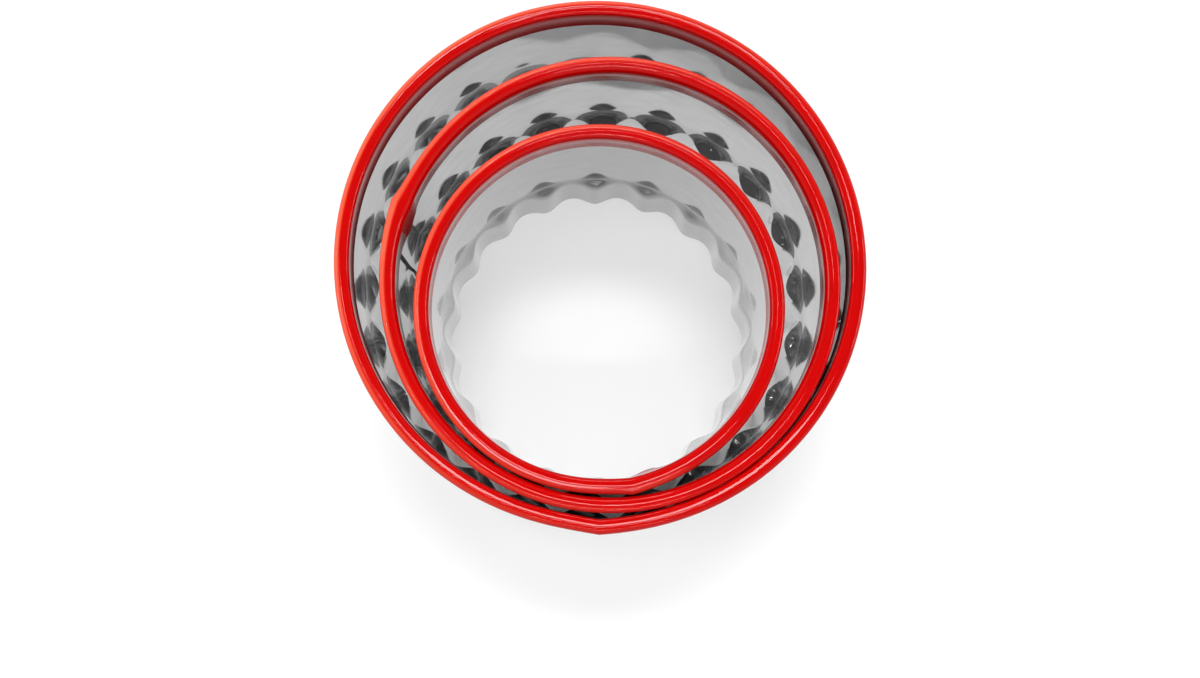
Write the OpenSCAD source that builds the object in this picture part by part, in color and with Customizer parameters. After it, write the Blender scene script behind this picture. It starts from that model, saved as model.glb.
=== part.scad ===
// Nested set of three crinkle-edged biscuit cutters.
// Each cutter is a thin steel band with a red trim pressed over its top edge.
// The origin is on the large cutter's axis, at its cutting edge, with +Z up.
// +Y is the far side of the set as it is seen from the front.

/* [Bands] */
// Outside diameter of the large cutter's steel band
large_d = 76.2; // [68:0.1:84]
// How much less the middle cutter's band measures across than the large one's
middle_step = 11.4; // [9:0.1:15]
// How much less the small cutter's band measures across than the middle one's
small_step = 12.9; // [9:0.1:16]
// Height of every cutter, from its cutting edge to the crest of its trim
cutter_h = 42; // [38:0.5:55]
// Thickness of the steel strip
steel_t = 0.4; // [0.3:0.05:0.5]

/* [Flutes] */
// Flutes round the large cutter
large_flutes = 25; // [20:1:30]
// Flutes round the middle cutter
middle_flutes = 21; // [16:1:26]
// Flutes round the small cutter
small_flutes = 18; // [14:1:22]
// How far each ridge of the large and the middle cutter is pressed inwards
flute_depth = 1.8; // [0.8:0.05:1.9]
// Height above the cutting edge up to which those ridges have their full depth
flute_h = 16; // [8:0.5:22]
// Height of the hollow slope in which they then rise to the plain wall
fade_h = 5; // [3:0.5:8]
// How far each ridge of the small cutter is pressed inwards
small_flute_depth = 1.35; // [0.8:0.05:1.9]
// Height above the cutting edge up to which the small cutter's ridges have their full depth
small_flute_h = 7; // [4:0.5:22]
// Height over which they then fade softly into the plain wall
small_fade_h = 6; // [3:0.5:8]

/* [Lap seam] */
// Length over which the two ends of each strip lie on each other
lap_w = 5.6; // [4:0.1:9]
// Length over which the outer layer then steps back in to the plain wall
joggle_w = 4; // [2:0.1:6]
// How far the large trim stands out over the outer end of its strip
large_swell = 0.7; // [0.4:0.05:0.9]
// The same of the middle trim
middle_swell = 0.7; // [0.4:0.05:0.9]
// The same of the small trim
small_swell = 0.55; // [0.4:0.05:0.6]

/* [Trim] */
// Thickness of each leg of the trim
trim_wall = 0.9; // [0.7:0.05:1.1]
// Height of the trim from its crest to the foot of its legs
trim_h = 5; // [3.5:0.1:7]
// Thickness of the trim over the steel's top edge
trim_crown = 1; // [0.8:0.05:1.5]
// Gap between the steel and each leg of the trim
trim_gap = 0.03; // [0.02:0.01:0.05]

/* [Nesting] */
// Least gap between two nested cutters
nest_gap = 0.2; // [0.15:0.05:1]
// Direction in which the middle cutter stands off the large one's axis
middle_lean = -65; // [-75:1:-45]
// Direction in which the small cutter stands off the middle one's axis
small_lean = -114; // [-125:1:-100]

/* [Hidden] */

// Direction of one ridge of each cutter
large_ridge = 93.7;
middle_ridge = 91.3;
small_ridge = 90.7;
// Direction of the outer end of each strip. The lap runs on from there, anticlockwise from above.
large_seam = -90.5;
middle_seam = 159.5;
small_seam = -80;

// The wall is drawn through this many points to a flute, and this many levels up the fade
flute_points = 8;
fade_levels = 5;
// Power that makes the outward arcs of a flute broader than its inward ridges
arc_power = 1.16;
// Power that makes the slope over a ridge hollow, so that it meets the ridge in a sharp lip
hollow_power = 3;
// Each end of a strip slopes off over this share of the step between two points
end_slope = 0.25;

// The trim's swelling at the lap is part of a smaller ring, off centre: its share of the
// trim's radius, and the share of its reach that is built, so that its ends stay plain steps
swell_share = 0.75;
swell_reach = 0.9;
// Slack round the lap in the trim's groove, along the strip
lap_slack = 0.3;
// Facets of a full circle
$fn = 120;

middle_d = large_d - middle_step;
small_d = middle_d - small_step;
band_h = cutter_h - trim_crown;
trim_w = steel_t + 2 * trim_wall;
groove_h = band_h - (cutter_h - trim_h);

// Each nested cutter stands against the next larger one, clear of its trim and of its ridges
side_room = steel_t + max(2 * trim_wall, flute_depth) + nest_gap;
middle_shift = middle_step / 2 - side_room;
small_shift = small_step / 2 - side_room;
// Depth of the ridges at every level of the slope over them
hollow_depths = [for (v = [0:fade_levels]) flute_depth * hollow_fade(v)];
soft_depths = [for (v = [0:fade_levels]) small_flute_depth * soft_fade(v)];

middle_at = middle_shift * [cos(middle_lean), sin(middle_lean)];
small_at = middle_at + small_shift * [cos(small_lean), sin(small_lean)];

// Angle of a length along the wall of a band
function along(d, length) = length / (PI * d) * 360;

// Points are counted in steps round the wall, from a ridge. Step 0 is on the ridge, and the
// middle between two ridges is the crest of an outward arc.
function step_a(flutes) = 360 / (flutes * flute_points);
function steps_of(d, flutes, length) = max(2, round(along(d, length) / step_a(flutes)));
function first_step(flutes, ridge, seam) = round((seam - ridge) / step_a(flutes));
function lap_steps(d, flutes) = steps_of(d, flutes, lap_w);
function joggle_steps(d, flutes) = steps_of(d, flutes, joggle_w);

// Distance of a step from the nearest arc's crest, as a share of that to the ridge beside it
function off_crest(s) = abs((s % flute_points + flute_points) % flute_points * 2 / flute_points - 1);
// How far the wall is pressed in at a step, as a share of the full depth
function press(s) = (1 - cos(180 * pow(off_crest(s), arc_power))) / 2;
// The same share at a level over the ridges, 1 at the lowest and 0 at the highest
function hollow_fade(level) = pow(1 - level / fade_levels, hollow_power);
function soft_fade(level) = (1 + cos(180 * level / fade_levels)) / 2;

// Steps of the points of one closed line, from the outer end of the strip once round
function strip_steps(lap, count) = concat(
    [for (s = [0:lap]) s], [lap + end_slope], [for (s = [lap + 1:count - 1]) s], [count - end_slope]
);

// How far the outer and the inner surface lie outside the plain wall, t steps from the outer end
function joggle(t, lap, run) = t > lap && t < lap + run ? steel_t * (1 - (t - lap) / run) : 0;
function outer_lift(t, lap, run) = t <= lap ? steel_t : joggle(t, lap, run);
function inner_lift(t, lap, run) = joggle(t, lap, run);

function wall_point(r, a) = [r * cos(a), r * sin(a)];

// One closed line of points round a surface of the band, for a given depth of the ridges
function wall_line(d, flutes, ridge, seam, depth, is_outer) =
    let (lap = lap_steps(d, flutes), run = joggle_steps(d, flutes), first = first_step(flutes, ridge, seam))
    [for (t = strip_steps(lap, flutes * flute_points))
        let (lift = is_outer ? outer_lift(t, lap, run) : inner_lift(t, lap, run) - steel_t)
        wall_point(d / 2 + lift - depth * press(first + t), ridge + (first + t) * step_a(flutes))];

function quad(a, b, c, d) = [[a, b, c], [a, c, d]];

// A length of band with one section all the way up
module straight_length(d, flutes, ridge, seam, depth, height) {
    linear_extrude(height) difference() {
        polygon(wall_line(d, flutes, ridge, seam, depth, true));
        polygon(wall_line(d, flutes, ridge, seam, depth, false));
    }
}

// The length where the ridges fade, their depth given at every level: one closed skin
module fading_length(d, flutes, ridge, seam, depths, height) {
    n = flutes * flute_points + 2;
    top = len(depths) - 1;
    points = [for (is_outer = [true, false]) for (v = [0:top])
        for (p = wall_line(d, flutes, ridge, seam, depths[v], is_outer))
            [p[0], p[1], height * v / top]];
    function out(v, k) = v * n + k % n;
    function inn(v, k) = (top + 1) * n + out(v, k);
    walls = [for (v = [0:top - 1]) for (k = [0:n - 1]) each concat(
        quad(out(v, k), out(v + 1, k), out(v + 1, k + 1), out(v, k + 1)),
        quad(inn(v, k), inn(v, k + 1), inn(v + 1, k + 1), inn(v + 1, k))
    )];
    ends = [for (k = [0:n - 1]) each concat(
        quad(out(0, k), out(0, k + 1), inn(0, k + 1), inn(0, k)),
        quad(out(top, k), inn(top, k), inn(top, k + 1), out(top, k + 1))
    )];
    polyhedron(points, concat(walls, ends));
}

// A steel strip rolled into a band, its ends lapped, with its lower part pressed into flutes
module band(d, flutes, ridge, seam, depths, ridge_h, slope_h) {
    plain_z = ridge_h + slope_h;
    color("silver") union() {
        straight_length(d, flutes, ridge, seam, depths[0], ridge_h);
        translate([0, 0, ridge_h])
            fading_length(d, flutes, ridge, seam, depths, slope_h);
        translate([0, 0, plain_z])
            straight_length(d, flutes, ridge, seam, 0, band_h - plain_z);
    }
}

// Section of the trim without its groove, standing on its legs' feet, round on top
module trim_section() {
    translate([-trim_w, 0])
        square([trim_w, trim_h - trim_w / 2]);
    translate([-trim_w / 2, trim_h - trim_w / 2])
        circle(d = trim_w);
}

// The trim's swelling at the lap, a stretch of a smaller ring that stands out most over the
// strip's outer end
module swelling(outer_r, end_a, swell) {
    swell_r = outer_r * swell_share;
    shift = outer_r - swell_r + swell;
    meet_a = acos((outer_r ^ 2 + shift ^ 2 - swell_r ^ 2) / (2 * outer_r * shift));
    half_a = swell_reach * asin(outer_r * sin(meet_a) / swell_r);
    rotate(end_a)
        translate([shift, 0, 0])
            rotate(-half_a)
                rotate_extrude(angle = 2 * half_a)
                    translate([swell_r, 0])
                        trim_section();
}

// Room for the steel in the trim: the strip's own, and one more layer along the lap and the joggle
module groove(d, from_a, to_a) {
    slack_a = along(d, lap_slack);
    translate([0, 0, -trim_gap])
        difference() {
            cylinder(d = d + 2 * trim_gap, h = groove_h + trim_gap);
            translate([0, 0, -trim_gap])
                cylinder(d = d - 2 * steel_t - 2 * trim_gap, h = groove_h + 3 * trim_gap);
        }
    rotate(from_a - slack_a)
        rotate_extrude(angle = to_a - from_a + 2 * slack_a)
            translate([d / 2 - steel_t / 2, -trim_gap])
                square([1.5 * steel_t + trim_gap, groove_h + trim_gap]);
}

// A channel of soft plastic round the band's top edge, which it covers on both sides
module trim(d, flutes, ridge, seam, swell) {
    outer_r = d / 2 + trim_wall;
    start_a = ridge + first_step(flutes, ridge, seam) * step_a(flutes);
    joggle_end_a = start_a + (lap_steps(d, flutes) + joggle_steps(d, flutes)) * step_a(flutes);
    color([0.86, 0.02, 0.02])
        translate([0, 0, cutter_h - trim_h])
            difference() {
                union() {
                    rotate_extrude()
                        translate([outer_r, 0])
                            trim_section();
                    swelling(outer_r, start_a, swell);
                }
                groove(d, start_a, joggle_end_a);
            }
}

band(large_d, large_flutes, large_ridge, large_seam, hollow_depths, flute_h, fade_h);  // large_band
trim(large_d, large_flutes, large_ridge, large_seam, large_swell);  // large_trim
translate(middle_at)  // middle_band
    band(middle_d, middle_flutes, middle_ridge, middle_seam, hollow_depths, flute_h, fade_h);
translate(middle_at)  // middle_trim
    trim(middle_d, middle_flutes, middle_ridge, middle_seam, middle_swell);
translate(small_at)  // small_band
    band(small_d, small_flutes, small_ridge, small_seam, soft_depths, small_flute_h, small_fade_h);
translate(small_at)  // small_trim
    trim(small_d, small_flutes, small_ridge, small_seam, small_swell);
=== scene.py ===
"""Looks of a nested set of three crinkle-edged biscuit cutters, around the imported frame.

Each cutter is a thin steel band with a glossy red trim over its top edge. Lengths are in
millimetres and angles in degrees, counted anticlockwise from +X as seen from above. The near side
is -Y and the far side +Y, as the photograph shows the set.
"""

import math

import bpy
import numpy as np
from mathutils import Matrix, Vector


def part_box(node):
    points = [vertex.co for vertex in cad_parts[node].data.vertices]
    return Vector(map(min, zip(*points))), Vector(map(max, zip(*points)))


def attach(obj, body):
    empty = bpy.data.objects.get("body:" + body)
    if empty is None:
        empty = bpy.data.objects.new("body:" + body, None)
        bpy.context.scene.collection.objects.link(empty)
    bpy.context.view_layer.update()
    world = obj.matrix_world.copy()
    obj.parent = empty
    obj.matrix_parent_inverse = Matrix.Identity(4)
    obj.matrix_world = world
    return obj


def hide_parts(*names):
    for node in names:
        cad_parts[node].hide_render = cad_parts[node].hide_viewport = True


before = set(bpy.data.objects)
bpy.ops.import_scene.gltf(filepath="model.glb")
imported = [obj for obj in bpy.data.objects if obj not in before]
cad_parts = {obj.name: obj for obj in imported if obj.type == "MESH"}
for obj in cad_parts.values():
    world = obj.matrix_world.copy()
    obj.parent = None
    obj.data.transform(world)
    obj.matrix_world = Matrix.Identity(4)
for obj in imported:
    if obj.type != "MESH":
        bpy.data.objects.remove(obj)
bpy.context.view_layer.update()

MM = 0.001

# The strip's thickness, the length over which its ends lie double, and the step beside that
STEEL_T = 0.4
LAP_W = 5.6
JOGGLE_W = 4.0
# Angles over which the strip's outer and inner ends step down
OUTER_END = 0.05
INNER_END = 0.8
# Angle on both sides of the inner end that has no other columns of points
END_CLEAR = 1
# Columns of points for each flute, and levels of points on a ridge, its slope and the plain wall
COLUMNS = 28
RIDGE_LEVELS = 7
SLOPE_LEVELS = 25
PLAIN_LEVELS = 6
# How bright the steel's outer side is beside its inner side
OUTER_TONE = 0.8
# How far above and below a ridge's nose the steel is still dull
NOSE_BLUR = 1
# Direction in which the ridges are deepest, their depth where the next cutter leans on the wall,
# and how far that one stands off centre
DEEPEST = 20
CONTACT_DEPTH = 1.85
CONTACT_SHIFT = 3.3
# Height below which a wall may bow out
BOW_TOP = 36.5
# Angles between faces up to which the steel and the trim look smooth
STEEL_SMOOTH = 30
TRIM_SMOOTH = 50

# The trim's legs and height, the gap beside the strip and the plastic above it
TRIM_WALL = 0.9
TRIM_H = 5.0
TRIM_GAP = 0.03
TRIM_CAP = 0.98
TRIM_W = STEEL_T + 2 * TRIM_WALL
# The cut corners of its feet
TRIM_EDGE = 0.15
# The broad arc on the crown and how far it leans over, and the points on the outer shoulder, on
# that arc and on the inner shoulder
CROWN_R = 2.2
CROWN_LEAN = 25
CROWN_POINTS = (20, 25, 14)
# Shallow ribs along the crown: their depth and spacing, where they lie from the outer side, and
# how far down they go
RIB_DEPTH = 0.007
RIB_STEP = 0.7
RIBS_FROM = 0.1
RIBS_TO = 1.9
RIBS_DOWN = 1
# The painted highlight on the trim's outer edge: its width and how soft its side is, the height it
# starts from and how soft its foot is, and the direction in which it is strongest
HIGHLIGHT_W = 0.95
HIGHLIGHT_FADE = 0.35
HIGHLIGHT_FOOT = 3.4
HIGHLIGHT_RISE = 0.6
HIGHLIGHT_AT = 150
# How much stronger the painted highlight is beside the strip's end, and how far from that end
SEAM_HIGHLIGHT = 0.6
SEAM_HIGHLIGHT_AT = 8
# Height below which the legs are dull and may splay, and the angles over which the trim's inner
# leg splays and over which the trim widens before and after the strip's end
LEG_TOP = 3.6
SPLAY_REACH = 4.5
WIDE_BEFORE = 3
WIDE_AFTER = 6
# How far past the strip's ends the groove makes room for them
GROOVE_MARGIN = 2

# Colours: the steel at its darkest and brightest, the painted shade on its cut ends, the red where
# it is deepest and lightest, the painted highlight on its outer edge, and the table
STEEL_DARK = (0, 0, 0, 1)
STEEL_BRIGHT = (0.77, 0.775, 0.78, 1)
# Painted shade on the strip's cut ends, from its darkest to its lightest
LAP_SHADE_DARK = (0.006, 0.006, 0.006, 1)
LAP_SHADE_LIGHT = (0.03, 0.03, 0.03, 1)
RED_DEEP = (0.43, 0.0004, 0.0004, 1)
RED_LIGHT = (0.49, 0.0005, 0.0004, 1)
HIGHLIGHT_SALMON = (0.85, 0.12, 0.06, 1)
TABLE = (0.9, 0.9, 0.9, 1)

# Half the floor's width
FLOOR_HALF = 1500
# How much of the floor's look is plain white rather than the light that falls on it, where the
# camera sees it and where a reflection does
FLOOR_SEEN = 0.5
FLOOR_MIRRORED = 0.7
# How far the floor looks for walls beside it, and between what open shares its plain white fades
# to nothing, which leaves narrow gaps dark
GAP_REACH = 12
GAP_SHUT = 0.1
GAP_OPEN = 0.33
# Between these distances from the set the floor turns into the plain white of the backdrop
PLAIN_FROM = 120
PLAIN_TO = 420
# The studio round the set as a reflection sees it: white from the floor up to one height (the
# sine of its angle) and dim above another, both higher on the near side
STUDIO_WHITE = 0.96
STUDIO_DIM = 0.25
STUDIO_TILT = (0, 0.3, 0.95)
WHITE_UP_TO = 0.45
DIM_FROM = 0.8
# The soft light from all round
WORLD_LIGHT = 0.45

# The camera, its lens and the direction it looks in
CAMERA_PLACE = (-2.45, -32.82, 224.83)
CAMERA_VIEW = (0.0124, 0.1161, -1)
LENS = 38.57
# The lamps' names, places, sizes and powers, and the point they all face
LAMPS = (("far box", (0, 364, 1000), (400, 150), 5.6),
         ("near box", (0, -500, 1000), (400, 50), 2.0),
         ("top box", (-60, 40, 1000), (50, 400), 1.8),
         ("left box", (-900, 50, 420), (400, 250), 2.3),
         ("right box", (900, 50, 420), (400, 250), 2.3),
         ("back box", (0, 950, 420), (400, 250), 2.3))
LAMPS_FACE = (0, 0, 30)

# Every cutter, in this order:
# its flutes, where one ridge, the strip's outer end and the contact with the next cutter lie
# how far the strip's end stands out, and the angles over which that dies away on both sides
# how far the rest lies outside its circle, and broad waves as their order, amount and crest
# the ridges' depth and how much deeper they are towards DEEPEST, and how much shallower at one
# angle and over what reach
# the height up to which a ridge is full, its slope's height at the far side and how much longer
# that is at the near side, and the slope's power, or 0 for an even S
# the arcs' width beside the ridges' as a power, and how far the arcs are pressed in too
# how far the foot bows out to the left, right and far side
# how dull the steel is on the noses, how much painted shade darkens it below them at the far side,
# and how much painted shade darkens the wall towards the far side
# the trim's leg roughness, painted highlight on its outer edge and outer shoulder radius
# how far the trim widens at the strip's end, and how far its inner leg splays and where
RINGS = {
    "large": {"flutes": 25, "ridge": 93.7, "seam": -90.5, "contact": -65,
              "kink": 0.70, "before": 6.5, "after": 12.5,
              "slack": -0.29, "waves": [(1, 0.16, 115), (2, 0.24, -61)],
              "depth": 2.1, "deeper": 0.25, "shallow": (1.0, 100, 10),
              "lip": 16.0, "nose": 5.0, "longer": 0, "power": 3,
              "arc": 0.9, "least": 0.12,
              "bow": (0.75, 0.5, 0.3),
              "dull": 0.02, "shade": 0, "far_shade": 0.12,
              "leg_dull": 0.8, "painted_highlight": 1.0, "shoulder": 0.9,
              "spread": 0, "splay": 0, "splay_at": 0},
    "middle": {"flutes": 21, "ridge": 91.3, "seam": 159.5, "contact": -114,
               "kink": 0.75, "before": 3.5, "after": 14.0,
               "slack": 0, "waves": [(2, 0.05, 70)],
               "depth": 2.1, "deeper": 0.25, "shallow": (0.3, -80, 12),
               "lip": 15.5, "nose": 5.0, "longer": 0, "power": 3,
               "arc": 0.9, "least": 0.12,
               "bow": (0.3, 0, 0),
               "dull": 0.02, "shade": 0, "far_shade": 0,
               "leg_dull": 0.3, "painted_highlight": 0.7, "shoulder": 0.6,
               "spread": 0.8, "splay": 0.6, "splay_at": 164},
    "small": {"flutes": 18, "ridge": 90.7, "seam": -80, "contact": 0,
              "kink": 0.6, "before": 4.9, "after": 10.0,
              "slack": 0, "waves": [(2, 0.03, 85)],
              "depth": 1.35, "deeper": 0, "shallow": (0, 0, 1),
              "lip": 11.7, "nose": 1.7, "longer": 5.0, "power": 0,
              "arc": 1.16, "least": 0.0,
              "bow": (0, 0, 0),
              "dull": 0.32, "shade": 0.14, "far_shade": 0.48,
              "leg_dull": 0.3, "painted_highlight": 0.7, "shoulder": 0.75,
              "spread": 0.25, "splay": 0.5, "splay_at": -74},
}


def around(angle):
    """An angle or angles between -180 and 180."""
    return (np.asarray(angle) + 180) % 360 - 180


def toward(angle, direction):
    """1 where an angle points in a direction, 0 where it points away from it."""
    return 0.5 + 0.5 * np.cos(np.radians(angle - direction))


def far_side(angle):
    """0 on the near half of a ring, rising to 1 at its far side."""
    return np.clip(np.sin(np.radians(angle)), 0, 1)


def ring_place(name):
    """Axis and radius of a band's plain wall, from the sides of its box that its lap doesn't reach."""
    lo, hi = (np.array(corner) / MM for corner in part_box(name + "_band"))
    seam = math.radians(RINGS[name]["seam"])
    side = 0 if abs(math.sin(seam)) > abs(math.cos(seam)) else 1
    radius = (hi[side] - lo[side]) / 2
    return hi[:2] - radius, radius


def per_point(*parts):
    """A row of vectors from their parts, each one number for the whole row or one for each point."""
    return np.stack(np.broadcast_arrays(*parts), -1)


def mesh_object(name, rows, smooth_angle):
    """A closed ring from rows of points that run round it, each row joined to the next."""
    points = np.array(rows).transpose(1, 0, 2)
    columns, size = points.shape[:2]
    faces = []
    for i in range(columns):
        j = (i + 1) % columns
        for k in range(size):
            m = (k + 1) % size
            faces.append((i * size + k, j * size + k, j * size + m, i * size + m))
    mesh = bpy.data.meshes.new(name)
    mesh.from_pydata([tuple(p) for p in points.reshape(-1, 3) * MM], [], faces)
    mesh.validate()
    mesh.update()
    mesh.set_sharp_from_angle(angle=math.radians(smooth_angle))
    for polygon in mesh.polygons:
        polygon.use_smooth = True
    piece = bpy.data.objects.new(name, mesh)
    bpy.context.collection.objects.link(piece)
    return piece


def lay_attribute(piece, name, rows):
    """A vector on every point of a piece, for its material."""
    values = np.array(rows, dtype=np.float32).transpose(1, 0, 2)
    layer = piece.data.attributes.new(name, "FLOAT_VECTOR", "POINT")
    layer.data.foreach_set("vector", values.reshape(-1))


def bulge(name, angle):
    """How far a cutter lies outside its circle."""
    ring = RINGS[name]
    off = around(angle - ring["seam"])
    reach = np.where(off < 0, ring["before"], ring["after"])
    total = ring["slack"] + ring["kink"] * np.exp(-np.abs(off) / reach)
    for order, amount, crest in ring["waves"]:
        total = total + amount * np.cos(np.radians(order * (angle - crest)))
    return total


def press(name, angle):
    """How far the wall is pressed in, as a share of the full depth: 1 on a ridge, least on an arc."""
    ring = RINGS[name]
    share = (np.asarray(angle) - ring["ridge"]) * ring["flutes"] / 360 % 1
    off_arc = np.abs(2 * share - 1)
    return ring["least"] + (1 - ring["least"]) * (1 - np.cos(np.pi * off_arc ** ring["arc"])) / 2


def full_depth(name, angle):
    """Full depth of the ridges, less at one place and where the next cutter leans on them."""
    ring = RINGS[name]
    depth = ring["depth"] + ring["deeper"] * np.cos(np.radians(angle - DEEPEST))
    less, at, reach = ring["shallow"]
    depth = depth - less * np.exp(-(around(angle - at) / reach) ** 2)
    room = CONTACT_DEPTH + CONTACT_SHIFT * (1 - np.cos(np.radians(angle - ring["contact"])))
    return np.minimum(depth, room)


def bow(name, angle, z):
    """How far the left, right and far sides of the wall stand out below the trim."""
    left, right, far = RINGS[name]["bow"]
    side = np.cos(np.radians(angle))
    out = np.where(side < 0, -left * side, right * side) + far * far_side(angle)
    return max(1 - (z / BOW_TOP) ** 2, 0) * out


def fade(name, angle, z):
    """Share of the full depth at a height: a ridge ends in a slope up to the plain wall."""
    ring = RINGS[name]
    slope = ring["nose"] + ring["longer"] * (1 - far_side(angle))
    t = np.clip((ring["lip"] + slope - z) / slope, 0, 1)
    return t ** ring["power"] if ring["power"] else (1 - np.cos(np.pi * t)) / 2


def band_columns(name, lap):
    """Angles round the band from the strip's outer end, with both its ends as sharp steps."""
    count = RINGS[name]["flutes"] * COLUMNS
    plain = np.arange(1, count) * 360 / count
    plain = plain[np.abs(plain - lap) > END_CLEAR]
    return np.sort(np.concatenate([[0, lap, lap + INNER_END, 360 - OUTER_END], plain]))


def band_levels(name, top):
    """Heights of the points on one side of the band, close together on the ridges' slopes."""
    ring = RINGS[name]
    slope = ring["nose"] + ring["longer"]
    return np.concatenate([np.linspace(0, ring["lip"], RIDGE_LEVELS)[:-1],
                           ring["lip"] + slope * np.linspace(0, 1, SLOPE_LEVELS),
                           np.linspace(ring["lip"] + slope, top, PLAIN_LEVELS)[1:]])


def strip_sides(columns, lap, joggle):
    """How far the strip's outer and inner sides lie outside the plain wall's outer side."""
    fall = np.clip(1 - (columns - lap) / joggle, 0, 1)
    fall = fall * fall * (3 - 2 * fall)
    outer = np.where(columns <= lap, STEEL_T, STEEL_T * fall)
    inner = np.where(columns <= lap, -STEEL_T, STEEL_T * fall - STEEL_T)
    return outer, inner


def steel_roughness_and_shade(name, angle, z, tone):
    """How dull and how bright the steel is at one height: dull on the noses, with painted shade below them
    and towards the far side.
    """
    ring = RINGS[name]
    half = ring["nose"] / 2
    nose = math.exp(-((z - ring["lip"] - half) / (half + NOSE_BLUR)) ** 2)
    below = min(max((ring["lip"] + ring["nose"] - z) / ring["nose"], 0), 1)
    # Painted shade: darker below the noses at the far side, and darker towards the far side on both sides of
    # the strip
    shaded = 1 - ring["shade"] * below * far_side(angle)
    tone = tone * shaded * (1 - ring["far_shade"] * toward(angle, 90))
    return per_point(ring["dull"] * nose, tone, 0)


def make_band(name):
    """The steel strip: rolled, lapped and pressed into flutes."""
    centre, radius = ring_place(name)
    lap, joggle = math.degrees(LAP_W / radius), math.degrees(JOGGLE_W / radius)
    columns = band_columns(name, lap)
    levels = band_levels(name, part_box(name + "_band")[1].z / MM)
    outer, inner = strip_sides(columns, lap, joggle)
    angle = RINGS[name]["seam"] + columns
    cos, sin = np.cos(np.radians(angle)), np.sin(np.radians(angle))
    pressed = press(name, angle) * full_depth(name, angle)
    rows, strip, finish_and_shade = [], [], []
    for side, heights, tone in ((outer, levels, OUTER_TONE), (inner, levels[::-1], 1)):
        for z in heights:
            r = radius + side + bulge(name, angle) + bow(name, angle, z) - pressed * fade(name, angle, z)
            rows.append(per_point(centre[0] + r * cos, centre[1] + r * sin, z))
            strip.append(per_point(np.radians(columns) * radius, z, 0))
            finish_and_shade.append(steel_roughness_and_shade(name, angle, z, tone))
    band = mesh_object(name + "_steel", rows, STEEL_SMOOTH)
    lay_attribute(band, "strip", strip)
    lay_attribute(band, "finish_and_shade", finish_and_shade)
    darken_ends(band, int(np.argmin(np.abs(columns - lap))), len(columns), len(levels))
    return band


def darken_ends(band, inner_end, columns, levels):
    """Give the faces that step down at the strip's outer and inner ends the second material, which paints
    them dark as shade.
    """
    for level in range(levels):
        band.data.polygons[(columns - 1) * 2 * levels + level].material_index = 1
        band.data.polygons[inner_end * 2 * levels + levels + level - 1].material_index = 1


def rib(x, z):
    """How far the crown's surface lies above its arcs: it dips between shallow ribs."""
    share = (x - RIBS_FROM) / (RIBS_TO - RIBS_FROM)
    if not 0 < share < 1 or z <= TRIM_H - RIBS_DOWN:
        return 0
    return -RIB_DEPTH * math.sin(math.pi * share) * (1 + math.cos(2 * math.pi * (x - RIBS_FROM) / RIB_STEP))


def crown_arc(x, z, radius, start, end, count):
    """Points on an arc about a centre, between angles that lean from straight up to the inner side."""
    turns = np.radians(np.linspace(start, end, count))
    return [(x + radius * math.sin(turn), z + radius * math.cos(turn)) for turn in turns]


def trim_profile(shoulder):
    """Section of the trim as a closed loop: each point's distance from the outer side, its height
    and its side of the groove, 1 on the outer one and -1 on the inner one.

    The crown is highest near the outer side, falls gently towards the middle and then rounds off.
    """
    lean = math.radians(CROWN_LEAN)
    inner_r = (TRIM_W - shoulder - CROWN_R * math.sin(lean)) / (1 - math.sin(lean))
    drop = TRIM_H - CROWN_R * (1 - math.cos(lean)) - inner_r * math.cos(lean)
    outer_count, crown_count, inner_count = CROWN_POINTS
    crest = (crown_arc(shoulder, TRIM_H - shoulder, shoulder, -90, 0, outer_count)
             + crown_arc(shoulder, TRIM_H - CROWN_R, CROWN_R, 0, CROWN_LEAN, crown_count)[1:]
             + crown_arc(TRIM_W - inner_r, drop, inner_r, CROWN_LEAN, 90, inner_count)[1:])
    groove_top = TRIM_H - TRIM_CAP
    outer_side, inner_side = TRIM_WALL - TRIM_GAP, TRIM_WALL + STEEL_T + TRIM_GAP
    legs = [(TRIM_W, TRIM_EDGE, 0), (TRIM_W - TRIM_EDGE, 0.0, 0),
            (inner_side, 0.0, -1), (inner_side, groove_top, -1),
            (outer_side, groove_top, 1), (outer_side, 0.0, 1),
            (TRIM_EDGE, 0.0, 0), (0.0, TRIM_EDGE, 0), (0.0, HIGHLIGHT_FOOT, 0)]
    return [(x, z + rib(x, z), 0) for x, z in crest] + legs


def groove_room(off, radius):
    """How much further out and in the groove reaches where the strip lies double."""
    lap, joggle = math.degrees(LAP_W / radius), math.degrees(JOGGLE_W / radius)
    end = lap + GROOVE_MARGIN
    started = off > -GROOVE_MARGIN
    return STEEL_T * np.clip(1 - (off - end) / joggle, 0, 1) * started, STEEL_T * (started & (off < end))


def edge_highlight(name, angle, off):
    """How strong the painted highlight on the trim's outer edge is round the ring."""
    ring = RINGS[name]
    beside = np.exp(-((off - SEAM_HIGHLIGHT_AT) / SEAM_HIGHLIGHT_AT) ** 2)
    return np.clip(ring["painted_highlight"] * toward(angle, HIGHLIGHT_AT) ** 2 + SEAM_HIGHLIGHT * ring["spread"] * beside, 0, 1)


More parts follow.
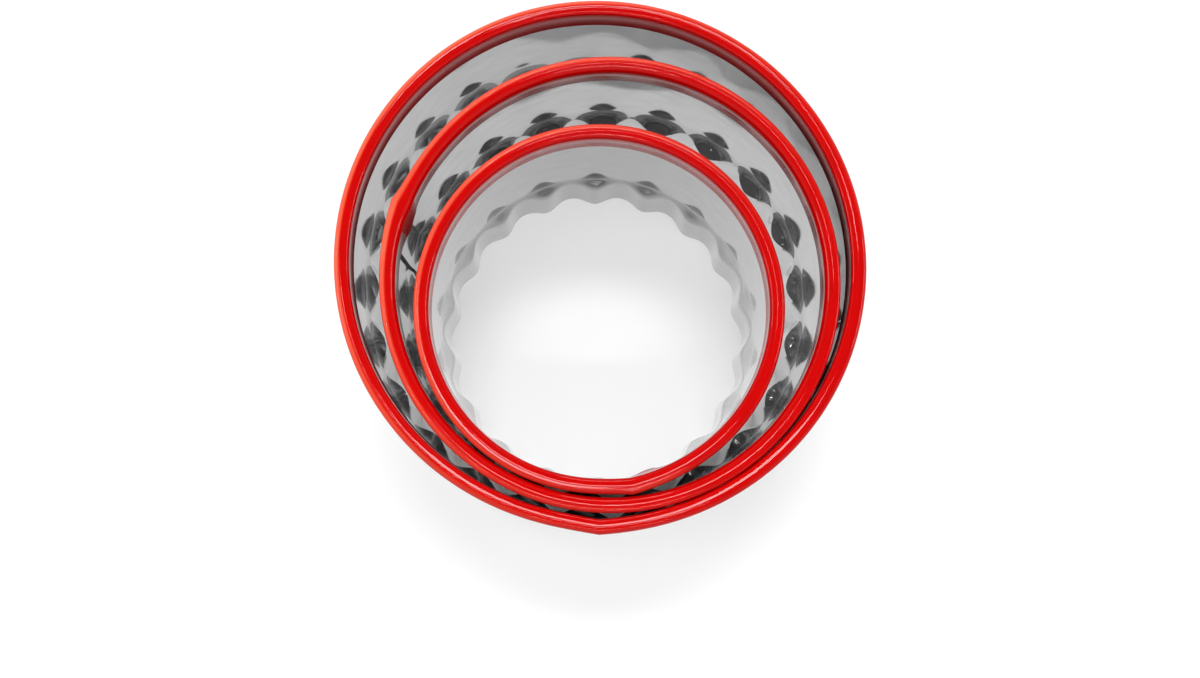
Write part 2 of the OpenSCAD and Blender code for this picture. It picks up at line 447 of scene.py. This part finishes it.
def make_trim(name):
    """The red channel pressed over the band's top edge."""
    ring = RINGS[name]
    centre, radius = ring_place(name)
    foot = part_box(name + "_trim")[1].z / MM - TRIM_H
    outer = radius + TRIM_WALL
    columns = np.arange(0, 360, 1.0)
    angle = ring["seam"] + columns
    cos, sin = np.cos(np.radians(angle)), np.sin(np.radians(angle))
    off = around(columns)
    wider = 1 + ring["spread"] / TRIM_W * np.exp(-np.abs(off) / np.where(off < 0, WIDE_BEFORE, WIDE_AFTER))
    splayed = ring["splay"] * np.exp(-(around(angle - ring["splay_at"]) / SPLAY_REACH) ** 2)
    room_out, room_in = groove_room(off, radius)
    highlight = edge_highlight(name, angle, off)
    rows, channel, painted_highlight = [], [], []
    for inset, height, groove in trim_profile(ring["shoulder"]):
        leg = min(max((LEG_TOP - height) / LEG_TOP, 0), 1)
        if groove:
            r = outer - inset + (room_out if groove > 0 else -room_in)
        else:
            r = outer - inset * wider - (inset > TRIM_WALL + STEEL_T) * leg * splayed
        r = r + bulge(name, angle)
        rows.append(per_point(centre[0] + r * cos, centre[1] + r * sin, foot + height))
        dull = ring["leg_dull"] * min(2 * leg, 1)
        channel.append(per_point(np.radians(columns) * outer, height - inset, dull))
        # Painted highlight: a pale salmon share on the crown's outer edge, strongest towards one direction
        # and beside the strip's end
        edge = min(max((HIGHLIGHT_W - inset) / HIGHLIGHT_FADE, 0), 1)
        above = min(max((height - HIGHLIGHT_FOOT) / HIGHLIGHT_RISE, 0), 1)
        painted_highlight.append(per_point(highlight * edge * above, 0, 0))
    trim = mesh_object(name + "_channel", rows, TRIM_SMOOTH)
    lay_attribute(trim, "channel", channel)
    lay_attribute(trim, "painted_highlight", painted_highlight)
    return trim


class Nodes:
    """Short calls for building the node tree of a material or a world."""

    def __init__(self, owner):
        owner.use_nodes = True
        self.owner = owner
        self.tree = owner.node_tree
        self.shader = self.tree.nodes.get("Principled BSDF")

    def add(self, kind, **settings):
        """A new node with these settings."""
        node = self.tree.nodes.new(kind)
        for key, value in settings.items():
            setattr(node, key, value)
        return node

    def feed(self, value, into):
        """Give a socket another node's output or a fixed value."""
        if isinstance(value, bpy.types.NodeSocket):
            self.tree.links.new(value, into)
        else:
            into.default_value = value

    def set(self, name, value):
        """Give the shader's own socket an output or a fixed value."""
        self.feed(value, self.shader.inputs[name])

    def attribute(self, name):
        """A piece's own vector and its three parts."""
        read = self.add("ShaderNodeAttribute", attribute_name=name)
        parts = self.add("ShaderNodeSeparateXYZ")
        self.feed(read.outputs["Vector"], parts.inputs[0])
        return read.outputs["Vector"], parts.outputs

    def noise(self, vector, stretch, detail=3.0):
        """Noise with this many swells per millimetre along each part of a vector."""
        scaled = self.add("ShaderNodeVectorMath", operation="MULTIPLY")
        cloud = self.add("ShaderNodeTexNoise")
        self.feed(vector, scaled.inputs[0])
        self.feed(stretch, scaled.inputs[1])
        self.feed(scaled.outputs[0], cloud.inputs["Vector"])
        self.feed(1.0, cloud.inputs["Scale"])
        self.feed(detail, cloud.inputs["Detail"])
        return cloud.outputs["Fac"]

    def span(self, value, low, high, least=0.3, most=0.7, **settings):
        """A value from least to most, drawn out to run from low to high."""
        node = self.add("ShaderNodeMapRange", **settings)
        for socket, number in enumerate((value, least, most, low, high)):
            self.feed(number, node.inputs[socket])
        return node.outputs[0]

    def calc(self, operation, first, second):
        """A sum, product or larger value of two."""
        node = self.add("ShaderNodeMath", operation=operation)
        self.feed(first, node.inputs[0])
        self.feed(second, node.inputs[1])
        return node.outputs[0]

    def between(self, share, first, second):
        """The colour that lies this share of the way from one colour to another."""
        mix = self.add("ShaderNodeMix", data_type="RGBA")
        for socket, value in ((0, share), (6, first), (7, second)):
            self.feed(value, mix.inputs[socket])
        return mix.outputs[2]

    def blend(self, share, first, second, output):
        """Send a blend of two shaders to the tree's output node."""
        mix = self.add("ShaderNodeMixShader")
        for socket, value in enumerate((share, first, second)):
            self.feed(value, mix.inputs[socket])
        self.feed(mix.outputs[0], self.tree.nodes[output].inputs["Surface"])

    def bumps(self, heights):
        """Bumps from pairs of a height and its depth in millimetres, one upon another."""
        normal = None
        for height, depth in heights:
            bump = self.add("ShaderNodeBump")
            self.feed(height, bump.inputs["Height"])
            self.feed(depth * MM, bump.inputs["Distance"])
            if normal is not None:
                self.feed(normal, bump.inputs["Normal"])
            normal = bump.outputs[0]
        self.set("Normal", normal)


def steel_material():
    """Bright steel: fine rolling lines along the strip, soft waves in it, faint smudges and painted shade.
    """
    made = Nodes(bpy.data.materials.new("bright rolled steel"))
    strip, _ = made.attribute("strip")
    _, finish_and_shade = made.attribute("finish_and_shade")
    lines = made.noise(strip, (0.04, 7, 0), 4.0)
    waves = made.noise(strip, (0.12, 0.16, 0), 1.0)
    smudges = made.noise(strip, (0.25, 0.4, 0), 5.0)
    worn = made.calc("MULTIPLY", made.span(smudges, 1.0, 0.9), made.span(lines, 0.88, 1.0))
    # The attribute's brightness part carries the painted shade below the noses and towards the far side
    tone = made.calc("MULTIPLY", worn, finish_and_shade["Y"])
    made.set("Metallic", 0.8)
    made.set("Roughness", made.calc("ADD", made.span(smudges, 0.045, 0.1), finish_and_shade["X"]))
    made.set("Base Color", made.between(tone, STEEL_DARK, STEEL_BRIGHT))
    made.bumps(((lines, 0.0006), (waves, 0.02)))
    return made.owner


def lap_end_material():
    """The cut ends of the strip at its lap, painted near black as the shade in the crevice."""
    made = Nodes(bpy.data.materials.new("lap end in painted shade"))
    strip, _ = made.attribute("strip")
    mottle = made.noise(strip, (0, 1.5, 0))
    made.set("Metallic", 0.6)
    made.set("Roughness", made.span(mottle, 0.4, 0.6))
    made.set("Base Color", made.between(made.span(mottle, 0, 1), LAP_SHADE_DARK, LAP_SHADE_LIGHT))
    return made.owner


def red_material():
    """Glossy soft plastic, duller on its legs, with a painted highlight on its outer edge and faint drawn
    lines.
    """
    made = Nodes(bpy.data.materials.new("glossy red PVC"))
    channel, parts = made.attribute("channel")
    _, painted_highlight = made.attribute("painted_highlight")
    drawn = made.noise(channel, (0.03, 4, 0), 3.0)
    cloudy = made.noise(channel, (0.2, 0.6, 0), 3.0)
    grain = made.noise(channel, (5, 5, 5), 2.0)
    red = made.between(made.span(cloudy, 0, 1), RED_DEEP, RED_LIGHT)
    highlight = made.calc("MULTIPLY", painted_highlight["X"], made.span(drawn, 0.75, 1))
    made.set("IOR", 1.5)
    made.set("Specular IOR Level", 0.15)
    made.set("Roughness", made.calc("ADD", made.span(cloudy, 0.02, 0.06), parts["Z"]))
    made.set("Base Color", made.between(highlight, red, HIGHLIGHT_SALMON))
    made.bumps(((drawn, 0.0006), (grain, 0.0005), (cloudy, 0.003)))
    return made.owner


def floor_material():
    """A white table, whose plain white share fades in the narrow gaps between the cutters' walls."""
    made = Nodes(bpy.data.materials.new("white table"))
    made.set("Base Color", TABLE)
    made.set("Roughness", 0.6)
    beside = made.add("ShaderNodeAmbientOcclusion", samples=8)
    made.feed(GAP_REACH * MM, beside.inputs["Distance"])
    open_share = made.span(beside.outputs["AO"], 0, 1, GAP_SHUT, GAP_OPEN)
    away = made.add("ShaderNodeVectorMath", operation="LENGTH")
    made.feed(made.add("ShaderNodeNewGeometry").outputs["Position"], away.inputs[0])
    backdrop = made.span(away.outputs["Value"], 0, 1, PLAIN_FROM * MM, PLAIN_TO * MM)
    rays = made.add("ShaderNodeLightPath").outputs
    seen = made.calc("MAXIMUM", made.calc("MULTIPLY", open_share, FLOOR_SEEN), backdrop)
    seen = made.calc("MULTIPLY", seen, rays["Is Camera Ray"])
    mirrored = made.calc("MULTIPLY", open_share, FLOOR_MIRRORED)
    mirrored = made.calc("MULTIPLY", mirrored, rays["Is Glossy Ray"])
    glow = made.add("ShaderNodeEmission")
    made.feed((STUDIO_WHITE, STUDIO_WHITE, STUDIO_WHITE, 1), glow.inputs["Color"])
    share = made.calc("MAXIMUM", seen, mirrored)
    made.blend(share, made.shader.outputs[0], glow.outputs[0], "Material Output")
    return made.owner


def make_floor():
    """The table that the set stands on."""
    half = FLOOR_HALF * MM
    mesh = bpy.data.meshes.new("floor")
    mesh.from_pydata([(-half, -half, 0), (half, -half, 0), (half, half, 0), (-half, half, 0)], [],
                     [(0, 1, 2, 3)])
    floor = bpy.data.objects.new("floor", mesh)
    bpy.context.collection.objects.link(floor)
    floor.data.materials.append(floor_material())


def make_camera():
    """Almost straight above the set, a little in front of it."""
    data = bpy.data.cameras.new("camera")
    data.sensor_width = 36
    data.lens = LENS
    data.clip_start = 0.01
    camera = bpy.data.objects.new("camera", data)
    camera.location = Vector(CAMERA_PLACE) * MM
    camera.rotation_mode = "QUATERNION"
    camera.rotation_quaternion = Vector((0, 0, -1)).rotation_difference(Vector(CAMERA_VIEW).normalized())
    bpy.context.collection.objects.link(camera)
    bpy.context.scene.camera = camera


def make_lamp(name, place, size, power):
    """A soft box that faces the set."""
    data = bpy.data.lights.new(name, "AREA")
    data.shape = "RECTANGLE"
    data.size, data.size_y = size[0] * MM, size[1] * MM
    data.energy = power
    lamp = bpy.data.objects.new(name, data)
    lamp.location = Vector(place) * MM
    lamp.rotation_mode = "QUATERNION"
    lamp.rotation_quaternion = (Vector(LAMPS_FACE) * MM - lamp.location).to_track_quat("-Z", "Y")
    bpy.context.collection.objects.link(lamp)


def make_world():
    """Soft grey light all round, and a white studio where the camera or a reflection sees it."""
    made = Nodes(bpy.data.worlds.new("studio"))
    light = made.tree.nodes["Background"]
    made.feed((WORLD_LIGHT, WORLD_LIGHT, WORLD_LIGHT, 1), light.inputs["Color"])
    height = made.add("ShaderNodeVectorMath", operation="DOT_PRODUCT")
    made.feed(made.add("ShaderNodeTexCoord").outputs["Generated"], height.inputs[0])
    made.feed(STUDIO_TILT, height.inputs[1])
    studio = made.add("ShaderNodeBackground")
    white = made.span(height.outputs["Value"], STUDIO_WHITE, STUDIO_DIM, WHITE_UP_TO, DIM_FROM,
                      interpolation_type="SMOOTHSTEP")
    made.feed(white, studio.inputs["Color"])
    rays = made.add("ShaderNodeLightPath").outputs
    seen = made.calc("MAXIMUM", rays["Is Camera Ray"], rays["Is Glossy Ray"])
    made.blend(seen, light.outputs[0], studio.outputs[0], "World Output")
    bpy.context.scene.world = made.owner


steel = steel_material()
lap_end = lap_end_material()
red = red_material()
for name in RINGS:
    band = make_band(name)
    band.data.materials.append(steel)
    band.data.materials.append(lap_end)
    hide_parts(name + "_band")
    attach(band, name + "_cutter")
    channel = make_trim(name)
    channel.data.materials.append(red)
    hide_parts(name + "_trim")
    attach(channel, name + "_cutter")

make_floor()
make_camera()
make_world()
for name, place, size, power in LAMPS:
    make_lamp(name, place, size, power)

bpy.context.scene.view_settings.view_transform = "Standard"
